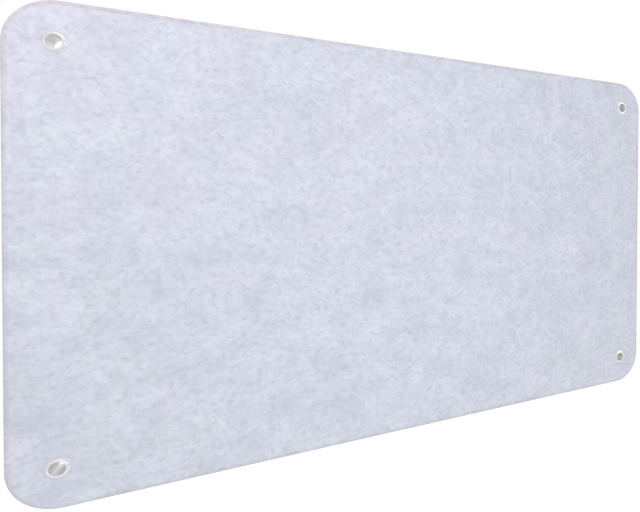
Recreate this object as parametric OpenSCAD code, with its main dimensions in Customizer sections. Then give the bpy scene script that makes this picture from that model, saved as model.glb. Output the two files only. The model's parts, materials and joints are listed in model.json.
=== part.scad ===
// Acoustic wall panel: a felt sandwich board with rounded corners and four set metal eyelets.
// The wall is the plane y = 0, the face looks along -Y, +X is to the right and +Z is up.
// The origin is the middle of the back, in the wall plane, centred between the four eyelets.

/* [Board] */
// Width of the board
panel_w = 1000; // [700:10:1400]
// Height of the board
panel_h = 600; // [400:10:900]
// Thickness of the whole sandwich, from the wall to the felt face
panel_t = 20; // [16:1:40]
// Radius of the four corners, seen from the front
corner_r = 55; // [42:1:90]
// Radius of the moulded edge between the felt face and the sides
edge_r = 4; // [1:0.5:5]

/* [Felt and core] */
// Thickness of the moulded front skin, on the face and on the sides
skin_t = 3; // [2.5:0.5:5]
// Thickness of the flat rear skin
rear_skin_t = 3; // [2.5:0.5:6]
// Felt left under each washer, where the rear skin is pressed flat
pressed_t = 0.6; // [0.3:0.1:0.9]
// Depth that each flange is pressed into the felt face
flange_sink = 0.8; // [0.3:0.1:1.5]

/* [Eyelets] */
// Distance from the board's sides to an eyelet's centre
inset_x = 50; // [42:1:120]
// Distance from the board's top and bottom to an eyelet's centre
inset_z = 50; // [42:1:120]
// Clear bore of an eyelet
bore_d = 16; // [13:0.5:17]
// Outer diameter of the flange on the face
flange_d = 24; // [23:0.5:32]
// Thickness of the eyelets' drawn sheet brass
sheet_t = 0.8; // [0.5:0.1:1]
// Height of the rolled lip over the flange's seat
lip_h = 3; // [2.4:0.1:4]
// Inside radius of the bend that forms the rolled lip
lip_bend_r = 0.4; // [0.2:0.1:0.6]
// Inside radius of the bend that curls the barrel over the washer
curl_bend_r = 0.3; // [0.2:0.1:0.4]
// Rise of the flange's brim from its rim to the rolled lip
brim_rise = 0.5; // [0.2:0.1:0.8]

/* [Washers] */
// Outer diameter of a washer
washer_d = 26; // [25:0.5:32]
// Thickness of the washers' sheet brass
washer_t = 0.8; // [0.5:0.1:0.9]

/* [Clearances] */
// Radial room between a barrel and its hole through the board
hole_clear = 0.1; // [0.05:0.05:0.5]
// Radial room between a barrel and its washer
washer_clear = 0.1; // [0.05:0.05:0.2]
// Radial room between a flange or a washer and its pressed seat
seat_clear = 0.4; // [0.2:0.1:1]

/* [Hidden] */
$fn = 96;

// Half the spacing of the eyelets
eye_x = panel_w / 2 - inset_x;
eye_z = panel_h / 2 - inset_z;
// Radii of the barrel, of the lip that is rolled out of it and of the curl at its other end
bore_r = bore_d / 2;
barrel_r = bore_r + sheet_t;
lip_r = lip_bend_r + sheet_t;
curl_r = curl_bend_r + sheet_t;
flange_r = flange_d / 2;
// Radii of the washer: its hole, the flat land under the curl, and the rim of its bead
washer_hole_r = barrel_r + washer_clear;
land_r = bore_r + 2 * curl_r + washer_clear;
washer_r = washer_d / 2;
bead_r = (washer_r - land_r) / 2;
// Heights over the wall plane
rear_seat = rear_skin_t - pressed_t;
curl_level = rear_seat - washer_t;
flange_seat = panel_t - flange_sink;
lip_level = flange_seat + lip_h - lip_r;
// Length by which each cut runs past the surface that it opens
overrun = 1;

felt_colour = [0.84, 0.85, 0.89];
core_colour = [0.93, 0.92, 0.89];
nickel_colour = [0.80, 0.80, 0.79];

// Pieces are drawn lying down, with the height over the wall plane as Z, and then stood up
module on_wall() {
    rotate([90, 0, 0]) children();
}

module at_corners(dx, dy) {
    for (sx = [-1, 1], sy = [-1, 1]) translate([sx * dx, sy * dy]) children();
}

// Outline of the board, drawn in by a distance on every side
module outline(d) {
    w = panel_w - 2 * d;
    h = panel_h - 2 * d;
    r = corner_r - d;
    square([w, h - 2 * r], center = true);
    square([w - 2 * r, h], center = true);
    at_corners(w / 2 - r, h / 2 - r) circle(r);
}

module quarter_disc(r) {
    intersection() {
        circle(r);
        square(r);
    }
}

// The rounded edge along one straight side of the given length
module edge_bar(length) {
    translate([0, length / 2, 0]) rotate([90, 0, 0]) linear_extrude(length) quarter_disc(edge_r);
}

// Solid front of the board, with its edge rounded all round
module moulded_block(from, to) {
    level = to - edge_r;
    straight_x = panel_w - 2 * corner_r;
    straight_y = panel_h - 2 * corner_r;
    translate([0, 0, from]) linear_extrude(level - from) outline(0);
    translate([0, 0, level]) linear_extrude(edge_r) outline(edge_r);
    for (turn = [0, 180]) {
        rotate(turn) translate([panel_w / 2 - edge_r, 0, level]) edge_bar(straight_y);
        rotate(turn + 90) translate([panel_h / 2 - edge_r, 0, level]) edge_bar(straight_x);
    }
    for (i = [0 : 3]) {
        sx = i == 0 || i == 3 ? 1 : -1;
        sy = i < 2 ? 1 : -1;
        translate([sx * straight_x / 2, sy * straight_y / 2, level]) rotate(90 * i)
            rotate_extrude(angle = 90) translate([corner_r - edge_r, 0]) quarter_disc(edge_r);
    }
}

module eyelet_holes() {
    at_corners(eye_x, eye_z) translate([0, 0, -overrun])
        cylinder(r = barrel_r + hole_clear, h = panel_t + 2 * overrun);
}

// Moulded felt tray that covers the face and the sides
module front_felt_skin() {
    color(felt_colour) on_wall() difference() {
        moulded_block(rear_skin_t, panel_t);
        translate([0, 0, rear_skin_t - overrun])
            linear_extrude(panel_t - skin_t - rear_skin_t + overrun) outline(skin_t);
        eyelet_holes();
        at_corners(eye_x, eye_z) translate([0, 0, flange_seat])
            cylinder(r = flange_r + seat_clear, h = flange_sink + overrun);
    }
}

// Loose sound-absorbing fibre board inside the tray
module core_board() {
    color(core_colour) on_wall() difference() {
        translate([0, 0, rear_skin_t]) linear_extrude(panel_t - skin_t - rear_skin_t) outline(skin_t);
        eyelet_holes();
    }
}

// Flat felt skin that closes the back, pressed flat where the washers sit
module rear_felt_skin() {
    color(felt_colour) on_wall() difference() {
        linear_extrude(rear_skin_t) outline(0);
        eyelet_holes();
        at_corners(eye_x, eye_z) translate([0, 0, -overrun])
            cylinder(r = washer_r + seat_clear, h = rear_seat + overrun);
    }
}

// Half of a bent sheet's ring section, opening down or up
module bend(inner_r, t, up) {
    difference() {
        intersection() {
            circle(inner_r + t);
            translate([-inner_r - t, up ? 0 : -inner_r - t]) square([2 * (inner_r + t), inner_r + t]);
        }
        circle(inner_r);
    }
}

// Section of an eyelet, with the radius as X and the height over the wall plane as Y
module eyelet_section() {
    leg_in = bore_r + 2 * lip_r - sheet_t;
    leg_out = bore_r + 2 * lip_r;
    rim_r = sheet_t / 2;
    // barrel
    translate([bore_r, curl_level]) square([sheet_t, lip_level - curl_level]);
    // rolled lip and the leg that comes down from it to the brim
    translate([bore_r + lip_r, lip_level]) bend(lip_bend_r, sheet_t, true);
    translate([leg_in, flange_seat]) square([sheet_t, lip_level - flange_seat]);
    // brim, which falls to a rounded rim
    polygon([
        [leg_in, flange_seat],
        [flange_r - rim_r, flange_seat],
        [flange_r - rim_r, flange_seat + sheet_t],
        [leg_out, flange_seat + sheet_t + brim_rise],
        [leg_in, flange_seat + sheet_t + brim_rise]
    ]);
    translate([flange_r - rim_r, flange_seat + rim_r]) circle(rim_r);
    // end of the barrel, curled out over the washer
    translate([bore_r + curl_r, curl_level]) bend(curl_bend_r, sheet_t, false);
}

// Drawn brass eyelet: flange on the face, barrel through the board, curl at the back
module eyelet(sx, sz) {
    color(nickel_colour) on_wall() translate([sx * eye_x, sz * eye_z]) rotate_extrude() eyelet_section();
}

// Section of a washer: flat land under the curl, then a half-round bead that stands on the felt
module washer_section() {
    translate([washer_hole_r, curl_level]) square([land_r + washer_t - washer_hole_r, washer_t]);
    translate([land_r + bead_r, rear_seat]) bend(bead_r - washer_t, washer_t, false);
}

module washer(sx, sz) {
    color(nickel_colour) on_wall() translate([sx * eye_x, sz * eye_z]) rotate_extrude() washer_section();
}

front_felt_skin();
core_board();
rear_felt_skin();
eyelet(-1, 1);  // eyelet_top_left
eyelet(1, 1);  // eyelet_top_right
eyelet(-1, -1);  // eyelet_bottom_left
eyelet(1, -1);  // eyelet_bottom_right
washer(-1, 1);  // washer_top_left
washer(1, 1);  // washer_top_right
washer(-1, -1);  // washer_bottom_left
washer(1, -1);  // washer_bottom_right
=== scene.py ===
import json
import math

import bmesh
import bpy
from mathutils import Matrix, Vector, noise


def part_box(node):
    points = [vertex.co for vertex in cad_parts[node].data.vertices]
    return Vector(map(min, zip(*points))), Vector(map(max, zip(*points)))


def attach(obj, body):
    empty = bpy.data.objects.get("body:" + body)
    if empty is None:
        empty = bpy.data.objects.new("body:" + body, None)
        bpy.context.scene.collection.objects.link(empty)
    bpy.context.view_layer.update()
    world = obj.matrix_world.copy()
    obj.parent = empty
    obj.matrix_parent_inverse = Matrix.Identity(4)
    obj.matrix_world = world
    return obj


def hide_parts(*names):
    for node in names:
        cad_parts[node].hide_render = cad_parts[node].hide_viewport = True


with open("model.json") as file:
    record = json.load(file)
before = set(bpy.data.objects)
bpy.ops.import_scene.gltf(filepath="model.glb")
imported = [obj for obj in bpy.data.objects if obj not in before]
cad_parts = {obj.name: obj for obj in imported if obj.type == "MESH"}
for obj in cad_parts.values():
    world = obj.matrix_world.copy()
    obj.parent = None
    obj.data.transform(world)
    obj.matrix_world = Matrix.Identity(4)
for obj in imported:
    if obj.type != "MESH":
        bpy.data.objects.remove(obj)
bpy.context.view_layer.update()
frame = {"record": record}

# Core board: a needled board of loose polyester fibre that soaks up the sound. It is cut to the
# outline with a knife, drilled for the four eyelets, and glued between the two felt skins.
mm = 0.001
board_low, board_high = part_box("front_felt_skin")
core_low, core_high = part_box("core_board")
half_w = board_high.x
half_h = board_high.z
skin = half_w - core_high.x
core_front = -core_low.y
core_back = -core_high.y
corner_radius = 55 * mm
barrel_hole = 8.9 * mm
core_nick = 0.6 * mm
core_ragged = 0.25 * mm
ragged_size = 5 * mm
# Room left round a piece that is glued or seated in another
close_fit = 0.05 * mm

eyelet_low, eyelet_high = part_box("eyelet_top_right")
eye_x = (eyelet_low.x + eyelet_high.x) / 2
eye_z = (eyelet_low.z + eyelet_high.z) / 2
corners = {"top_left": (-1, 1), "top_right": (1, 1), "bottom_left": (-1, -1), "bottom_right": (1, -1)}

# The face is laid out as a square block of rings round each eyelet, with plain grids between them
block_x = 2 * eye_x - half_w
block_z = 2 * eye_z - half_h
cell = 5 * mm
side_steps = round((half_w - block_x) / cell)
straight_steps = round((half_h - corner_radius - block_z) / cell)
arc_steps = 24
long_steps = round(2 * block_x / cell)
tall_steps = round(2 * block_z / cell)
ring_steps = 10
# The rings lie closest together next to the hole
ring_spread = 1.4
# Points that lie closer together than this become one
weld = mm / 1000
# The sections take a strip of the flat faces along, this wide at the side and at the bore
side_lap, bore_lap = 6 * mm, 4 * mm


def line(start, end, steps):
    """Points from start towards end, without the end itself."""
    return [Vector(start).lerp(Vector(end), i / steps) for i in range(steps)]


def arc(centre, radius, start, end, steps):
    """Points on an arc, with its angles in degrees, without the end itself."""
    turns = [math.radians(start + (end - start) * i / steps) for i in range(steps)]
    return [Vector((centre[0] + radius * math.cos(a), centre[1] + radius * math.sin(a))) for a in turns]


def block_rim(inset):
    """Rim of the top right corner block, anticlockwise from the corner that faces the board's middle."""
    x, z = half_w - inset, half_h - inset
    r = corner_radius - inset
    return [
        *line((block_x, block_z), (x, block_z), side_steps),
        *line((x, block_z), (x, z - r), straight_steps),
        *arc((x - r, z - r), r, 0, 90, arc_steps),
        *line((x - r, z), (block_x, z), straight_steps),
        *line((block_x, z), (block_x, block_z), side_steps),
    ]


def board_outline(inset):
    """The whole outline, drawn in by an inset, anticlockwise from the right side."""
    x, z = half_w - inset, half_h - inset
    turn = [*block_rim(inset)[side_steps:-side_steps], Vector((block_x, z))]
    across = [Vector((-p.x, p.y)) for p in reversed(turn)]
    under = [-p for p in turn]
    below = [Vector((p.x, -p.y)) for p in reversed(turn)]
    return [
        *turn[:-1], *line((block_x, z), (-block_x, z), long_steps),
        *across[:-1], *line((-x, block_z), (-x, -block_z), tall_steps),
        *under[:-1], *line((-block_x, -z), (block_x, -z), long_steps),
        *below[:-1], *line((x, -block_z), (x, block_z), tall_steps),
    ]


def hole_ring(radius):
    """A ring round the top right eyelet's axis, with one point for each point of its block's rim."""
    axis = Vector((eye_x, eye_z))
    return [axis + (p - axis).normalized() * radius for p in block_rim(0)]


def stand(points, height, turn=(1, 1)):
    """Points of the plan, stood up at a height over the wall, in one of the four quarters."""
    return [Vector((turn[0] * p.x, -height, turn[1] * p.y)) for p in points]


def join_rows(bm, rows, closed):
    """Joins rows of points, each as long as the next, with four-sided faces. Closed rows run round."""
    made = [[bm.verts.new(p) for p in row] for row in rows]
    for a, b in zip(made, made[1:]):
        count = len(a)
        for i in range(count if closed else count - 1):
            k = (i + 1) % count
            bm.faces.new((a[i], a[k], b[k], b[i]))


def flat_face(bm, inset, hole_radius, height):
    """One flat side of a layer, with its four holes."""
    x, z = half_w - inset, half_h - inset
    rim, hole = block_rim(inset), hole_ring(hole_radius)
    shares = [(i / ring_steps) ** ring_spread for i in range(ring_steps + 1)]
    for turn in corners.values():
        rings = [[h.lerp(r, share) for h, r in zip(hole, rim)] for share in shares]
        join_rows(bm, [stand(ring, height, turn) for ring in rings], True)
    spans = [
        ((-block_x, block_x, long_steps), (-block_z, block_z, tall_steps)),
        ((-block_x, block_x, long_steps), (block_z, z, side_steps)),
        ((-block_x, block_x, long_steps), (-z, -block_z, side_steps)),
        ((block_x, x, side_steps), (-block_z, block_z, tall_steps)),
        ((-x, -block_x, side_steps), (-block_z, block_z, tall_steps)),
    ]
    for (x0, x1, nx), (z0, z1, nz) in spans:
        levels = [z0 + (z1 - z0) * i / nz for i in range(nz + 1)]
        rows = [[*line((x0, v), (x1, v), nx), Vector((x1, v))] for v in levels]
        join_rows(bm, [stand(row, height) for row in rows], False)


def finished(name, bm):
    """Welds a mesh, turns its faces outwards and puts it in the scene as a piece."""
    bmesh.ops.remove_doubles(bm, verts=bm.verts, dist=weld)
    bmesh.ops.recalc_face_normals(bm, faces=bm.faces)
    mesh = bpy.data.meshes.new(name)
    bm.to_mesh(mesh)
    bm.free()
    mesh.shade_smooth()
    piece = bpy.data.objects.new(name, mesh)
    bpy.context.scene.collection.objects.link(piece)
    return piece


def board_layer(name, edge, bore):
    """A closed layer of the board. edge is its section at the outline, as (inset, height) from the front
    to the back, and bore is its section at each eyelet, as (radius, height) the same way."""
    bm = bmesh.new()
    flat_face(bm, edge[0][0], bore[0][0], edge[0][1])
    flat_face(bm, edge[-1][0], bore[-1][0], edge[-1][1])
    join_rows(bm, [stand(board_outline(inset), height) for inset, height in edge], True)
    for turn in corners.values():
        join_rows(bm, [stand(hole_ring(radius), height, turn) for radius, height in bore], True)
    return finished(name, bm)


def rounded(points, radius, steps=6):
    """A section with each inner point of the list rounded off, so that no edge is sharp."""
    section = [Vector(points[0])]
    for before, here, after in zip(points, points[1:], points[2:]):
        before, here, after = Vector(before), Vector(here), Vector(after)
        room = min((before - here).length, (after - here).length) / 2
        start = here + (before - here).normalized() * min(radius, room)
        end = here + (after - here).normalized() * min(radius, room)
        shares = [i / steps for i in range(steps + 1)]
        section += [start.lerp(here, s).lerp(here.lerp(end, s), s) for s in shares]
    return [*section, Vector(points[-1])]


core = board_layer(
    "core_board_fibre",
    rounded([
        (skin + side_lap, core_front), (skin + close_fit, core_front),
        (skin + close_fit, core_back), (skin + side_lap, core_back),
    ], core_nick),
    rounded([
        (barrel_hole + bore_lap, core_front), (barrel_hole + close_fit, core_front),
        (barrel_hole + close_fit, core_back), (barrel_hole + bore_lap, core_back),
    ], core_nick),
)
# The knife drags the loose fibre along the straight sides, which leaves them ragged in and never out
for vertex in core.data.vertices:
    at = vertex.co
    side = max(abs(at.x) - core_high.x, abs(at.z) - core_high.z)
    if side > -core_nick:
        pull = noise.noise(at / ragged_size) * 0.5 + 0.5
        at.x *= 1 - pull * core_ragged / half_w
        at.z *= 1 - pull * core_ragged / half_h


def linear(hex_colour):
    """An sRGB hex colour as linear RGBA."""
    parts = [int(hex_colour[i:i + 2], 16) / 255 for i in (1, 3, 5)]
    return [*(c / 12.92 if c <= 0.04045 else ((c + 0.055) / 1.055) ** 2.4 for c in parts), 1.0]


def new_material(name):
    """A material with its node tree and its surface shader."""
    material = bpy.data.materials.new(name)
    material.use_nodes = True
    tree = material.node_tree
    return material, tree, tree.nodes["Principled BSDF"]


def add_node(tree, kind, fields):
    """Adds a node, with its settings, its socket values and the sockets it is linked from."""
    node = tree.nodes.new("ShaderNode" + kind)
    for field, value in fields.items():
        if isinstance(value, bpy.types.NodeSocket):
            tree.links.new(value, node.inputs[field])
        elif isinstance(field, str) and hasattr(node, field):
            setattr(node, field, value)
        else:
            node.inputs[field].default_value = value
    return node


def needled_fibre():
    """Needled polyester fibre board: matt off-white wadding of curly fibres, with a lumpy cut surface."""
    material, tree, surface = new_material("needled_polyester_fibre_board")
    # Sizes in millimetres. A fibre is 0.03 mm thick, which no render shows, so the fibres are drawn as
    # loose wisps
    tuft_size = 7
    wisp_size = 2
    place = add_node(tree, "TexCoord", {})
    in_mm = add_node(tree, "Mapping", {"Vector": place.outputs["Object"], "Scale": (1000, 1000, 1000)})
    tufts = add_node(tree, "TexNoise", {"Vector": in_mm.outputs[0], "Scale": 1 / tuft_size, "Detail": 3})
    fibres = add_node(tree, "TexNoise", {
        "Vector": in_mm.outputs[0], "Scale": 1 / wisp_size, "Detail": 5, "Distortion": 2.5,
    })
    colour = add_node(tree, "Mix", {
        "data_type": "RGBA", 0: tufts.outputs[0], 6: linear("#dcd8cf"), 7: linear("#f1eee8"),
    })
    height = add_node(tree, "Math", {
        "operation": "MULTIPLY_ADD", 0: fibres.outputs[0], 1: 0.6, 2: tufts.outputs[0],
    })
    bump = add_node(tree, "Bump", {"Height": height.outputs[0], "Distance": 0.8 * mm, "Strength": 0.8})
    tree.links.new(colour.outputs[2], surface.inputs["Base Color"])
    tree.links.new(bump.outputs[0], surface.inputs["Normal"])
    surface.inputs["Roughness"].default_value = 0.95
    surface.inputs["Sheen Weight"].default_value = 0.2
    return material


core.data.materials.append(needled_fibre())
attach(core, "root")
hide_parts("core_board")

# Front felt skin: polyester felt, needled from pale fibres of several greys and then hot pressed into
# a tray 3 mm thick. It covers the face and the sides, and the press leaves its edge round and dense.
face = -board_low.y
seam = -board_high.y
edge_radius = 4 * mm
edge_steps = 10
flange_radius = (eyelet_high.x - eyelet_low.x) / 2
flange_sink = 0.8 * mm
flange_seat = face - flange_sink
seam_round = 0.7 * mm
seat_round = 0.2 * mm
felt_lap = 3 * mm

# The press leaves a faint crease where the flat face ends, as (inwards, down) in millimetres
crease = [(6, 0), (4.2, 0.02), (3.3, 0.07), (2.6, 0.13), (2, 0.14), (1.4, 0.09), (0.7, 0.02)]
tray_edge = [
    *((edge_radius + inwards * mm, face - down * mm) for inwards, down in crease),
    *(
        (edge_radius * (1 - math.sin(a)), face - edge_radius * (1 - math.cos(a)))
        for a in (math.radians(90 * i / edge_steps) for i in range(edge_steps + 1))
    ),
    *rounded([
        (0, face - 1.5 * edge_radius), (0, seam),
        (skin, seam), (skin, core_front), (skin + felt_lap, core_front),
    ], seam_round),
]
# The flange squeezes the felt into a faint dish, as (outwards, down) in millimetres, and the felt
# swells over the flange's round edge
dish = [(5, 0), (3, 0.01), (1.6, 0.02), (0.6, 0.025), (0, 0.025), (-0.12, 0.025), (-0.16, 0.028)]
brim_round = flange_sink / 2
brim_middle = flange_radius - brim_round
hug_gap = 0.02 * mm
hug_round = brim_round + hug_gap
hug_turns = [math.radians(a) for a in (60, 48, 36, 24, 12, 0)]
tray_bore = [
    *((flange_radius + out * mm, face - down * mm) for out, down in dish),
    *(
        (brim_middle + hug_round * math.cos(a), face - brim_round + hug_round * math.sin(a))
        for a in hug_turns
    ),
    *rounded([
        (brim_middle + hug_round, face - 1.5 * brim_round),
        (brim_middle + hug_round, flange_seat), (barrel_hole + close_fit, flange_seat),
        (barrel_hole + close_fit, core_front), (barrel_hole + felt_lap, core_front),
    ], seat_round, 3),
]
front = board_layer("front_felt_tray", tray_edge, tray_bore)


def from_eyelet(point):
    """Distance of a point from the nearest eyelet's axis."""
    return math.hypot(abs(point.x) - eye_x, abs(point.z) - eye_z)


def from_outline(point):
    """Distance of a point from the board's outline, inwards."""
    x, z = half_w - abs(point.x), half_h - abs(point.z)
    if x < corner_radius and z < corner_radius:
        return corner_radius - math.hypot(corner_radius - x, corner_radius - z)
    return min(x, z)


def ease(value, low, high):
    """A smooth step from 0 at low to 1 at high."""
    t = min(1.0, max(0.0, (value - low) / (high - low)))
    return t * t * (3 - 2 * t)


# The press bites hardest on the rounded edge and fades out over the crease, and the eyelets and the
# washers press a little. The darker, warmer tone that this mark gives the felt is partly the seared colour
# of hot-pressed felt and partly painted shade: a dark line where the rounded edge turns from the light,
# a line in the crease, and a ring round each flange and washer
edge_press_and_shade, edge_fade = 0.65, (0.8 * mm, 3.6 * mm)
crease_press_and_shade, crease_fade = 0.35, (4 * mm, 8 * mm)
seat_press_and_shade, seat_fade = 0.15, 2 * mm


def mark_pressed(piece, radius):
    """Stores how hard the felt is pressed at each point, next to the eyelets and along the edge, and with
    it the painted shade along the rounded edge, in the crease and round the eyelets.
    """
    pressed = piece.data.attributes.new("pressed", "FLOAT", "POINT")
    for vertex, mark in zip(piece.data.vertices, pressed.data):
        inwards = from_outline(vertex.co)
        rim = edge_press_and_shade * (1 - ease(inwards, *edge_fade))
        rim += crease_press_and_shade * (1 - ease(inwards, *crease_fade))
        seat = 1 - ease(from_eyelet(vertex.co), radius, radius + seat_fade)
        mark.value = max(rim, seat_press_and_shade * seat)


# The face isn't dead flat: the felt swells a little where more fibre lies, in wide lumps and lesser
# ones, but not near the eyelets or the edge
swell = 0.16 * mm
wide_lump = 46 * mm
lesser_lump, lesser_share = 0.4 * wide_lump, 0.5
eyelet_calm = (flange_radius + 4 * mm, flange_radius + 22 * mm)
edge_calm = (0, 14 * mm)
for vertex in front.data.vertices:
    at = vertex.co
    if -at.y > core_front + mm:
        calm = ease(from_eyelet(at), *eyelet_calm)
        calm *= ease(from_outline(at), *edge_calm)
        lumps = noise.noise(at / wide_lump) + lesser_share * noise.noise(at / lesser_lump)
        at.y -= swell * lumps * calm
mark_pressed(front, flange_radius)


def heathered_felt():
    """Needled polyester felt: a soft, fully matt mat of pale fibres in several cool greys, mottled where
    they gather, with a dust of light from the fibre ends at a grazing angle."""
    material, tree, surface = new_material("needled_polyester_felt")
    # Sizes in millimetres. The fibres are 0.03 mm thick, which no render shows, so the strands are
    # drawn as bundles ten times as thick. The mottling runs from tufts of a few millimetres up to the
    # clouds of the carding machine, all a little longer across the panel than up it
    strand_length, strand_width = 7, 0.32
    strand_angles = (8, 67, 128)
    curl_size, curl_reach = 9, 5
    cloud_length, cloud_height = 50, 38
    fleck_length, fleck_height = 9, 6.5
    # The flecks are read at another place of the noise than the clouds, so that the two don't agree
    fleck_place = 170
    tint_size = 60
    place = add_node(tree, "TexCoord", {})
    in_mm = add_node(tree, "Mapping", {"Vector": place.outputs["Object"], "Scale": (1000, 1000, 1000)})
    spread = add_node(tree, "Mapping", {
        "Vector": in_mm.outputs[0],
        "Scale": (1 / cloud_length, 1 / cloud_height, 1 / cloud_height),
    })
    mottle = add_node(tree, "TexNoise", {
        "Vector": spread.outputs[0], "Scale": 1, "Detail": 3, "Roughness": 1, "Distortion": 0.3,
    })
    sparse = add_node(tree, "Mapping", {
        "Vector": in_mm.outputs[0],
        "Location": (fleck_place, fleck_place, fleck_place),
        "Scale": (1 / fleck_length, 1 / fleck_height, 1 / fleck_height),
    })
    fleck = add_node(tree, "TexNoise", {
        "Vector": sparse.outputs[0], "Scale": 1, "Detail": 2, "Roughness": 0.6, "Distortion": 0.5,
    })
    tint = add_node(tree, "TexNoise", {"Vector": in_mm.outputs[0], "Scale": 1 / tint_size, "Detail": 2})
    curl = add_node(tree, "TexNoise", {"Vector": in_mm.outputs[0], "Scale": 1 / curl_size, "Detail": 1})
    curled = add_node(tree, "VectorMath", {
        "operation": "MULTIPLY_ADD", 0: curl.outputs["Color"], 1: (curl_reach, curl_reach, curl_reach),
        2: in_mm.outputs[0],
    })
    strands = []
    for angle in strand_angles:
        laid = add_node(tree, "Mapping", {
            "Vector": curled.outputs[0],
            "Rotation": (0, math.radians(angle), 0),
        })
        drawn = add_node(tree, "Mapping", {
            "Vector": laid.outputs[0],
            "Scale": (1 / strand_length, 1 / strand_width, 1 / strand_width),
        })
        strands.append(add_node(tree, "TexNoise", {
            "Vector": drawn.outputs[0], "Scale": 1, "Detail": 2, "Distortion": 0.6,
        }))
    crossed = add_node(tree, "Math", {
        "operation": "MAXIMUM", 0: strands[0].outputs[0], 1: strands[1].outputs[0],
    })
    mat = add_node(tree, "Math", {"operation": "MAXIMUM", 0: crossed.outputs[0], 1: strands[2].outputs[0]})
    heather = add_node(tree, "MapRange", {"Value": mottle.outputs[0], "From Min": 0.32, "From Max": 0.68})
    dark = add_node(tree, "MapRange", {
        "Value": fleck.outputs[0], "From Min": 0.49, "From Max": 0.7, "To Max": 0.42,
    })
    hue = add_node(tree, "MapRange", {"Value": tint.outputs[0], "From Min": 0.35, "From Max": 0.65})
    pale = add_node(tree, "Mix", {
        "data_type": "RGBA", 0: hue.outputs[0], 6: linear("#cfd5e1"), 7: linear("#d3d2e2"),
    })
    body = add_node(tree, "Mix", {
        "data_type": "RGBA", 0: heather.outputs[0], 6: linear("#bfc2d0"), 7: pale.outputs[2],
    })
    flecked = add_node(tree, "Mix", {
        "data_type": "RGBA", 0: dark.outputs[0], 6: body.outputs[2], 7: linear("#a8abbb"),
    })
    thread = add_node(tree, "MapRange", {
        "Value": mat.outputs[0], "From Min": 0.48, "From Max": 0.7, "To Min": 0.915, "To Max": 1.06,
    })
    # The pressed mark darkens and warms the felt: partly the seared tone of hot-pressed felt, partly
    # painted shade along the rounded edge, in the crease and round the flanges and washers
    press = add_node(tree, "Attribute", {"attribute_name": "pressed"})
    seared_and_shaded = add_node(tree, "Mix", {
        "data_type": "RGBA", 0: press.outputs["Fac"], 6: linear("#ffffff"), 7: linear("#e6dcd8"),
    })
    fibrous = add_node(tree, "Mix", {
        "data_type": "RGBA", "blend_type": "MULTIPLY", 0: 1.0, 6: flecked.outputs[2], 7: thread.outputs[0],
    })
    colour = add_node(tree, "Mix", {
        "data_type": "RGBA", "blend_type": "MULTIPLY", 0: 1.0, 6: fibrous.outputs[2], 7: seared_and_shaded.outputs[2],
    })
    relief = add_node(tree, "Math", {
        "operation": "MULTIPLY_ADD", 0: mottle.outputs[0], 1: 1.2, 2: mat.outputs[0],
    })
    bump = add_node(tree, "Bump", {"Height": relief.outputs[0], "Distance": 0.3 * mm, "Strength": 0.5})
    tree.links.new(colour.outputs[2], surface.inputs["Base Color"])
    tree.links.new(bump.outputs[0], surface.inputs["Normal"])
    surface.inputs["Roughness"].default_value = 0.93
    surface.inputs["Specular IOR Level"].default_value = 0.25
    surface.inputs["Sheen Weight"].default_value = 0.25
    surface.inputs["Sheen Roughness"].default_value = 0.6
    return material


felt = heathered_felt()
front.data.materials.append(felt)
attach(front, "root")
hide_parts("front_felt_skin")

# Rear felt skin: a flat sheet of the same felt that closes the back. Each washer is set so hard that
# the felt is squeezed from 3 mm to little more than half a millimetre, in a dish with a soft rim.
rear_front = -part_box("rear_felt_skin")[0].y
washer_low, washer_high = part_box("washer_top_right")
washer_radius = (washer_high.x - washer_low.x) / 2
washer_seat = -washer_low.y
seat_margin = 0.2 * mm
# The dish, as (outwards from the washer, in from the back) in millimetres
rear_dish = [(15, 0), (9, 0.03), (6, 0.1), (4, 0.24), (2.6, 0.5), (1.6, 0.9), (0.9, 1.4), (0.5, 1.9)]
rear = board_layer(
    "rear_felt_sheet",
    rounded([
        (felt_lap, rear_front - close_fit), (0, rear_front - close_fit), (0, 0), (felt_lap, 0),
    ], seam_round),
    [
        *rounded([
            (barrel_hole + felt_lap, rear_front - close_fit),
            (barrel_hole + close_fit, rear_front - close_fit),
            (barrel_hole + close_fit, washer_seat),
            (washer_radius + seat_margin, washer_seat),
        ], seat_round, 3),
        *((washer_radius + out * mm, deep * mm) for out, deep in reversed(rear_dish)),
    ],
)
# The rear sheet takes the same mark, with its painted shade round each washer and along the edge
mark_pressed(rear, washer_radius)
rear.data.materials.append(felt)
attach(rear, "root")
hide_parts("rear_felt_skin")


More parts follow.
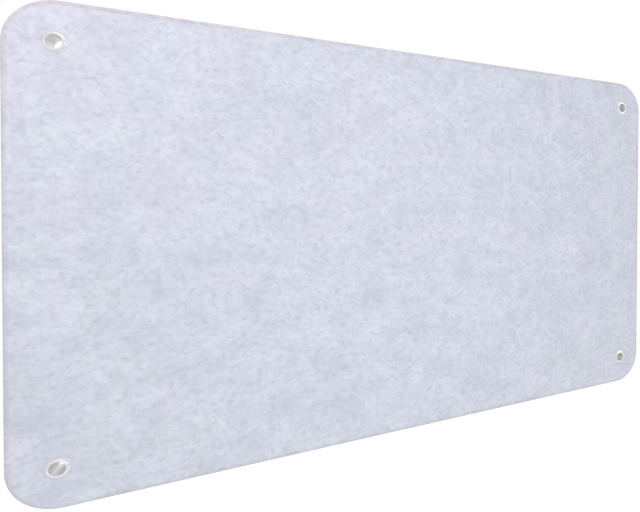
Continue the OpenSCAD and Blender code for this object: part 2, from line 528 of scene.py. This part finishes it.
# Washers: four rings stamped from 0.8 mm brass sheet and nickel plated, each with a half-round bead
# that bites on the felt. A washer is dropped over the barrel at the back before the barrel is curled.
def satin_nickel():
    """Bright nickel plate on drawn brass: a white metal, smooth, with fine rings from the polishing wheel
    and faint tarnish that greys it in patches."""
    material, tree, surface = new_material("nickel_plated_brass")
    # Sizes in millimetres: the polishing rings are about 0.05 mm apart, drawn at 0.2 mm to show. The
    # wheel doesn't reach into the barrel, which stays dull and even, as the press leaves it
    ring_pitch = 0.2
    tarnish_size = 3.5
    dull_radius, bright_radius = 8.2, 8.9
    place = add_node(tree, "TexCoord", {})
    in_mm = add_node(tree, "Mapping", {"Vector": place.outputs["Object"], "Scale": (1000, 1000, 1000)})
    flat = add_node(tree, "VectorMath", {
        "operation": "MULTIPLY", 0: in_mm.outputs[0], 1: (1, 0, 1),
    })
    radius = add_node(tree, "VectorMath", {"operation": "LENGTH", 0: flat.outputs[0]})
    depth = add_node(tree, "SeparateXYZ", {0: in_mm.outputs[0]})
    turned = add_node(tree, "CombineXYZ", {0: radius.outputs["Value"], 1: depth.outputs[1]})
    rings = add_node(tree, "TexNoise", {"Vector": turned.outputs[0], "Scale": 1 / ring_pitch, "Detail": 2})
    tarnish = add_node(tree, "TexNoise", {
        "Vector": in_mm.outputs[0], "Scale": 1 / tarnish_size, "Detail": 4,
    })
    veil = add_node(tree, "MapRange", {"Value": tarnish.outputs[0], "From Min": 0.4, "From Max": 0.75})
    colour = add_node(tree, "Mix", {
        "data_type": "RGBA", 0: veil.outputs[0], 6: linear("#e9e8ea"), 7: linear("#d6d6d9"),
    })
    gloss = add_node(tree, "MapRange", {
        "Value": tarnish.outputs[0], "From Min": 0.3, "From Max": 0.8, "To Min": 0.26, "To Max": 0.42,
    })
    dull = add_node(tree, "MapRange", {
        "Value": radius.outputs["Value"], "From Min": dull_radius, "From Max": bright_radius,
        "To Min": 1, "To Max": 0,
    })
    rough = add_node(tree, "Math", {
        "operation": "MULTIPLY_ADD", 0: dull.outputs[0], 1: 0.29, 2: gloss.outputs[0],
    })
    unpolished = add_node(tree, "Mix", {
        "data_type": "RGBA", 0: dull.outputs[0], 6: colour.outputs[2], 7: linear("#e0dfdf"),
    })
    bump = add_node(tree, "Bump", {"Height": rings.outputs[0], "Distance": 0.01 * mm, "Strength": 0.4})
    tree.links.new(unpolished.outputs[2], surface.inputs["Base Color"])
    tree.links.new(rough.outputs[0], surface.inputs["Roughness"])
    tree.links.new(bump.outputs[0], surface.inputs["Normal"])
    surface.inputs["Metallic"].default_value = 1.0
    return material


def lathe(name, section, turn, steps=96):
    """Turns a closed section of (radius, height) points round an eyelet's axis into a ring."""
    angles = [2 * math.pi * i / steps for i in range(steps)]
    rings = [[Vector((r * math.cos(a), -h, r * math.sin(a))) for a in angles] for r, h in section]
    bm = bmesh.new()
    join_rows(bm, [*rings, rings[0]], True)
    piece = finished(name, bm)
    piece.location = (turn[0] * eye_x, 0, turn[1] * eye_z)
    return piece


def along(path, thickness, steps=6):
    """The closed section of a bent sheet, from the line along the middle of its thickness."""
    path = [Vector(p) for p in path]
    ahead = [(b - a).normalized() for a, b in zip(path, path[1:])]
    facing = [ahead[0], *((a + b).normalized() for a, b in zip(ahead, ahead[1:])), ahead[-1]]
    out = [Vector((-d.y, d.x)) * thickness / 2 for d in facing]
    left = [p + o for p, o in zip(path, out)]
    right = [p - o for p, o in zip(path, out)]
    cap_turns = [math.radians(180 * i / steps) for i in range(1, steps)]
    tail = [path[-1] + Matrix.Rotation(-a, 2) @ out[-1] for a in cap_turns]
    head = [path[0] + Matrix.Rotation(-a, 2) @ -out[0] for a in cap_turns]
    return [*left, *tail, *reversed(right), *head]


nickel = satin_nickel()
sheet = 0.8 * mm
land = washer_seat - sheet / 2
bead_radius = 0.95 * mm
bead_middle = washer_radius - sheet / 2 - bead_radius
bead_turn = (205, 345)
bend_steps = 14
land_strip = 0.6 * mm
land_round = 0.3 * mm
# Seen from the back, the land lies on the felt under the curl, and the bead rises from it and comes
# down on the felt again
bead = arc((bead_middle, washer_seat), bead_radius, *bead_turn, bend_steps)
washer_path = [
    (barrel_hole + sheet / 2, land),
    *rounded([bead[0] - Vector((land_strip, 0)), bead[0], bead[2]], land_round, 4),
    *bead[3:],
]
for corner, turn in corners.items():
    washer = lathe("washer_ring_" + corner, along(washer_path, sheet), turn)
    washer.data.materials.append(nickel)
    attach(washer, "root")
    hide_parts("washer_" + corner)

# Eyelets: four cups drawn from 0.8 mm brass sheet and nickel plated. The brim is pressed into the felt
# face, the lip is rolled proud of it, and the barrel is curled over the washer at the back.
bore = next(m["dims"]["r_mm"] for m in frame["record"]["mounts"] if m["kind"] == "bore") * mm
barrel = bore + sheet / 2
lip_bend = 0.8 * mm
crest = -eyelet_low.y
lip_level = crest - lip_bend - sheet / 2
leg = barrel + 2 * lip_bend
brim_level = flange_seat + sheet / 2
brim_rise = 0.5 * mm
brim_flat, brim_lift = 0.6 * mm, 0.06 * mm
leg_round = 0.35 * mm
barrel_steps = 12
curl_bend = 0.7 * mm
curl_level = -eyelet_high.y + curl_bend + sheet / 2
# The curl stops where its round tip meets the washer's land
curl_stop = 334
eyelet_path = [
    (flange_radius - sheet / 2, brim_level),
    *rounded([
        (flange_radius - brim_flat, brim_level + brim_lift),
        (leg, brim_level + brim_rise),
        (leg, lip_level),
    ], leg_round),
    *arc((barrel + lip_bend, lip_level), lip_bend, 0, 180, bend_steps),
    *line((barrel, lip_level), (barrel, curl_level), barrel_steps),
    *arc((barrel + curl_bend, curl_level), curl_bend, 180, curl_stop, bend_steps),
]
for corner, turn in corners.items():
    eyelet = lathe("eyelet_ring_" + corner, along(eyelet_path, sheet), turn)
    eyelet.data.materials.append(nickel)
    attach(eyelet, "root")
    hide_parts("eyelet_" + corner)


# Studio: a plain pale floor well below the panel, a white surround and soft boxes. The floor is a
# round sheet, lit until it is nearly as white as the surround. The panel hangs free, so that its back
# shows too.
floor_level = -1.15
floor_radius = 2.6
floor_sides = 96
floor_mesh = bpy.data.meshes.new("studio_floor")
bm = bmesh.new()
bmesh.ops.create_circle(bm, cap_ends=True, segments=floor_sides, radius=floor_radius)
bm.to_mesh(floor_mesh)
bm.free()
floor = bpy.data.objects.new("studio_floor", floor_mesh)
floor.location.z = floor_level
bpy.context.scene.collection.objects.link(floor)
paper, _, surface = new_material("white_paper_floor")
surface.inputs["Base Color"].default_value = linear("#f6f6f7")
surface.inputs["Roughness"].default_value = 0.9
floor_mesh.materials.append(paper)

world = bpy.data.worlds.new("studio_surround")
world.use_nodes = True
bpy.context.scene.world = world
room = world.node_tree
sky = room.nodes["Background"]
# The lens sees a pure white surround, and the panel is lit by one that is a little dimmer
seen = add_node(room, "LightPath", {})
way = add_node(room, "TexCoord", {})
up = add_node(room, "SeparateXYZ", {0: way.outputs["Generated"]})
glow = add_node(room, "MapRange", {
    "Value": up.outputs[2], "From Min": 0, "From Max": 1, "To Min": 0.79, "To Max": 0.93,
})
# The metal mirrors a brighter right side, and behind the panel a dark backdrop with a lit middle. Where
# the backdrop is darkest, the sum falls a little below zero, which makes the right bores dark enough
right = add_node(room, "MapRange", {
    "Value": up.outputs[0], "From Min": 0, "From Max": 1, "To Min": 0.14, "To Max": 0.38,
})
behind = add_node(room, "MapRange", {
    "Value": up.outputs[1], "From Min": 0.05, "From Max": 0.3, "To Min": 0, "To Max": -1.22,
})
middle = add_node(room, "MapRange", {
    "Value": up.outputs[1], "From Min": 0.7, "From Max": 0.82, "To Min": 0, "To Max": 1.85,
})
backdrop = add_node(room, "Math", {"operation": "ADD", 0: behind.outputs[0], 1: middle.outputs[0]})
mirrored = add_node(room, "Math", {"operation": "ADD", 0: right.outputs[0], 1: backdrop.outputs[0]})
around = add_node(room, "Math", {
    "operation": "MULTIPLY_ADD",
    0: mirrored.outputs[0], 1: seen.outputs["Is Glossy Ray"], 2: glow.outputs[0],
})
strength = add_node(room, "Mix", {
    "data_type": "FLOAT", 0: seen.outputs["Is Camera Ray"], 2: around.outputs[0], 3: 1.0,
})
room.links.new(strength.outputs[0], sky.inputs["Strength"])
sky.inputs["Color"].default_value = (1, 1, 1, 1)


def soft_box(name, place, aim, width, height, radiance, colour="#ffffff", on_felt=True, on_metal=True):
    """A rectangular studio light that faces a point, with its brightness as the lens would see it. It can
    be kept off the matt felt, or out of the reflections in the metal."""
    light = bpy.data.lights.new(name, "AREA")
    light.shape = "RECTANGLE"
    light.size = width
    light.size_y = height
    light.energy = radiance * math.pi * width * height
    light.color = linear(colour)[:3]
    lamp = bpy.data.objects.new(name, light)
    lamp.location = place
    lamp.rotation_euler = (Vector(aim) - Vector(place)).to_track_quat("-Z", "Y").to_euler()
    lamp.visible_camera = False
    lamp.visible_diffuse = on_felt
    lamp.visible_glossy = on_metal
    bpy.context.scene.collection.objects.link(lamp)


soft_box("key_wall", (-0.78, -0.8, 0.85), (-0.3, 0, 0.2), 0.6, 0.6, 4.6, "#fff2ee", on_metal=False)
soft_box("low_fill", (-0.3, -1.2, -0.9), (-0.3, 0, -0.1), 1.1, 0.5, 0.75, "#b3ffce", on_metal=False)
soft_box("front_fill", (0.05, -0.6, 0.0), (0.05, 0, 0), 0.5, 0.4, 0.75, on_metal=False)
soft_box("side_strip", (2.0, -1.3, 0.35), (0.45, 0, 0), 0.2, 1.2, 4.5, on_felt=False)
soft_box("top_light", (0.4, 0.4, 2.4), (0.4, 0.4, 0), 3.4, 3.4, 1.1)
soft_box("back_light", (0.8, 2.0, 1.3), (0, 0, 0), 1.6, 1.2, 1.5)

# Camera: near the left end of the panel and turned to the right, as in the photograph, whose frame is
# cut off centre. The numbers come from fitting the board's outline and eyelets to the 640 by 512 frame.
frame_width, frame_height = 640, 512
focal_px = 365.9
axis_px = (400.0, 201.2)
yaw, pitch, roll = math.radians(19.96), math.radians(-0.62), math.radians(0.16)
lens = bpy.data.cameras.new("camera")
lens.sensor_width = 36
lens.lens = focal_px / frame_width * lens.sensor_width
lens.shift_x = (frame_width / 2 - axis_px[0]) / frame_width
lens.shift_y = (axis_px[1] - frame_height / 2) / frame_width
lens.clip_start = 0.02
camera = bpy.data.objects.new("camera", lens)
camera.location = (-0.2177, -0.5595, 0.0704)
look = Vector((math.sin(yaw) * math.cos(pitch), math.cos(yaw) * math.cos(pitch), math.sin(pitch)))
camera.rotation_mode = "QUATERNION"
camera.rotation_quaternion = look.to_track_quat("-Z", "Y") @ Matrix.Rotation(roll, 4, "Z").to_quaternion()
bpy.context.scene.collection.objects.link(camera)
bpy.context.scene.camera = camera
bpy.context.scene.view_settings.view_transform = "Standard"
